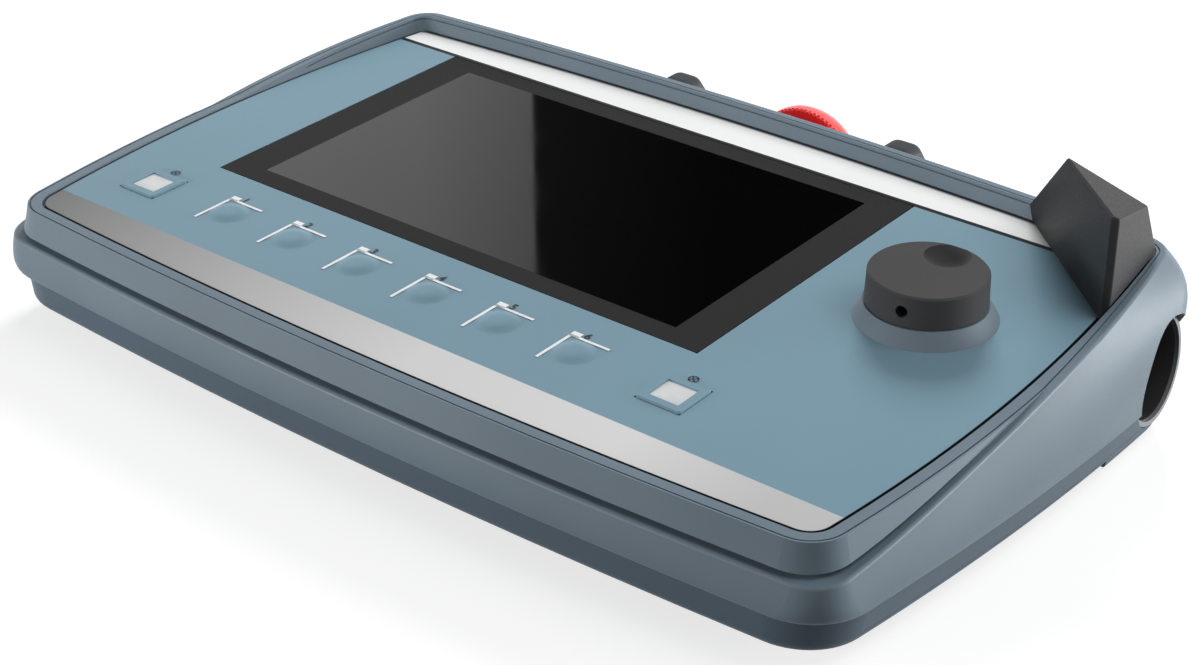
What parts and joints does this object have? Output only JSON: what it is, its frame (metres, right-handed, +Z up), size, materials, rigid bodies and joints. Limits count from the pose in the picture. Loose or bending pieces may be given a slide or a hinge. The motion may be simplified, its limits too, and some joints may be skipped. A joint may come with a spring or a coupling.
{
  "type": "mobile operator panel",
  "caption": "Hand-held machine operator panel: wedge housing with touch display, function keys, lit pushbuttons, handwheel with corner guard, rear emergency stop and enabling buttons below.",
  "frame": {"origin": "on the table under the middle of the part, at the level its feet stand on", "axes": "+X to the operator's right, +Y to the rear edge with the emergency stop, +Z up"},
  "size_m": [0.303, 0.2214, 0.0769],
  "materials": {
    "housing": "blue-grey moulded housing with a fine spark texture",
    "rubber": "black rubber",
    "plate": "satin printed plate, pale blue",
    "glass": "dark cover glass",
    "screen": "display module, switched off",
    "sheet": "bare sheet metal",
    "steel": "zinc plated steel",
    "brass": "turned brass",
    "board": "green circuit board",
    "chips": "black moulded component",
    "diode": "white light emitting diode",
    "collar": "grey moulded collar",
    "black": "dark grey moulded plastic",
    "red": "red moulded head, satin gloss",
    "stem": "black plunger",
    "ring": "light grey ring",
    "grip": "soft black grip",
    "terminal": "green terminal block",
    "frame": "pale blue button frame",
    "lens": "milky light guide"
  },
  "bodies": {
    "housing": {"front_shell": "housing", "rear_shell": "housing", "housing_seal": "rubber", "front_plate": "plate", "display_glass": "glass", "lcd_module": "screen", "lcd_bracket": "sheet", "lcd_screws": "steel", "board_stands": "brass", "main_board": "board", "board_chips": "chips", "board_screws": "steel", "key_board": "board", "key_board_screws": "steel", "snap_domes": "steel", "lamp_diodes": "diode", "handwheel_collar": "collar", "handwheel_encoder": "sheet", "encoder_nut": "steel", "corner_guard": "black", "guard_screws": "steel", "stop_body": "chips", "stop_collar": "black", "stop_nut": "sheet", "stop_contacts": "chips", "horn_left": "black", "horn_right": "black", "horn_screws": "steel", "cable_sleeve": "black", "cable_ring": "ring", "cable_socket": "black", "enable_switch_left": "chips", "enable_switch_right": "chips", "enable_screws": "steel", "terminal_board": "board", "terminal_block": "terminal", "terminal_screws": "steel", "case_screws": "steel", "feet_front": "rubber", "feet_rear": "rubber"},
    "function_key_1": {"function_key_1": "plate"},
    "function_key_2": {"function_key_2": "plate"},
    "function_key_3": {"function_key_3": "plate"},
    "function_key_4": {"function_key_4": "plate"},
    "function_key_5": {"function_key_5": "plate"},
    "function_key_6": {"function_key_6": "plate"},
    "lamp_button_left": {"lamp_cap_left": "frame", "lamp_lens_left": "lens"},
    "enable_left": {"enable_button_left": "grip"},
    "lamp_button_right": {"lamp_cap_right": "frame", "lamp_lens_right": "lens"},
    "enable_right": {"enable_button_right": "grip"},
    "handwheel": {"handwheel_knob": "black", "handwheel_shaft": "steel", "handwheel_set_screw": "steel"},
    "stop_plunger": {"stop_plunger": "stem"},
    "stop_head": {"stop_head": "red"}
  },
  "joints": [
    {"name": "function_key_1_press", "type": "slide", "parent": "housing", "child": "function_key_1", "axis": [0, 0.0767, -0.9971], "range_m": [0, 0.0005], "stiffness_N_per_m": 4000},
    {"name": "function_key_2_press", "type": "slide", "parent": "housing", "child": "function_key_2", "axis": [0, 0.0767, -0.9971], "range_m": [0, 0.0005], "stiffness_N_per_m": 4000},
    {"name": "function_key_3_press", "type": "slide", "parent": "housing", "child": "function_key_3", "axis": [0, 0.0767, -0.9971], "range_m": [0, 0.0005], "stiffness_N_per_m": 4000},
    {"name": "function_key_4_press", "type": "slide", "parent": "housing", "child": "function_key_4", "axis": [0, 0.0767, -0.9971], "range_m": [0, 0.0005], "stiffness_N_per_m": 4000},
    {"name": "function_key_5_press", "type": "slide", "parent": "housing", "child": "function_key_5", "axis": [0, 0.0767, -0.9971], "range_m": [0, 0.0005], "stiffness_N_per_m": 4000},
    {"name": "function_key_6_press", "type": "slide", "parent": "housing", "child": "function_key_6", "axis": [0, 0.0767, -0.9971], "range_m": [0, 0.0005], "stiffness_N_per_m": 4000},
    {"name": "lamp_button_left_press", "type": "slide", "parent": "housing", "child": "lamp_button_left", "axis": [0, 0.0767, -0.9971], "range_m": [0, 0.0008], "stiffness_N_per_m": 3000},
    {"name": "lamp_button_right_press", "type": "slide", "parent": "housing", "child": "lamp_button_right", "axis": [0, 0.0767, -0.9971], "range_m": [0, 0.0008], "stiffness_N_per_m": 3000},
    {"name": "enable_left_press", "type": "slide", "parent": "housing", "child": "enable_left", "axis": [0, 0, 1], "range_m": [0, 0.003], "stiffness_N_per_m": 3000},
    {"name": "enable_right_press", "type": "slide", "parent": "housing", "child": "enable_right", "axis": [0, 0, 1], "range_m": [0, 0.003], "stiffness_N_per_m": 3000},
    {"name": "handwheel_spin", "type": "hinge", "parent": "housing", "child": "handwheel", "pos_m": [0.102, 0.00429, 0.0433], "axis": [0, -0.0767, 0.9971], "continuous": true},
    {"name": "stop_push", "type": "slide", "parent": "housing", "child": "stop_plunger", "axis": [0, -0.9971, -0.0767], "range_m": [0, 0.0045], "stiffness_N_per_m": 4000},
    {"name": "stop_twist", "type": "hinge", "parent": "stop_plunger", "child": "stop_head", "pos_m": [0, 0.10073, 0.02815], "axis": [0, 0.9971, 0.0767], "range_deg": [0, 45], "stiffness_Nm_per_rad": 0.2}
  ]
}
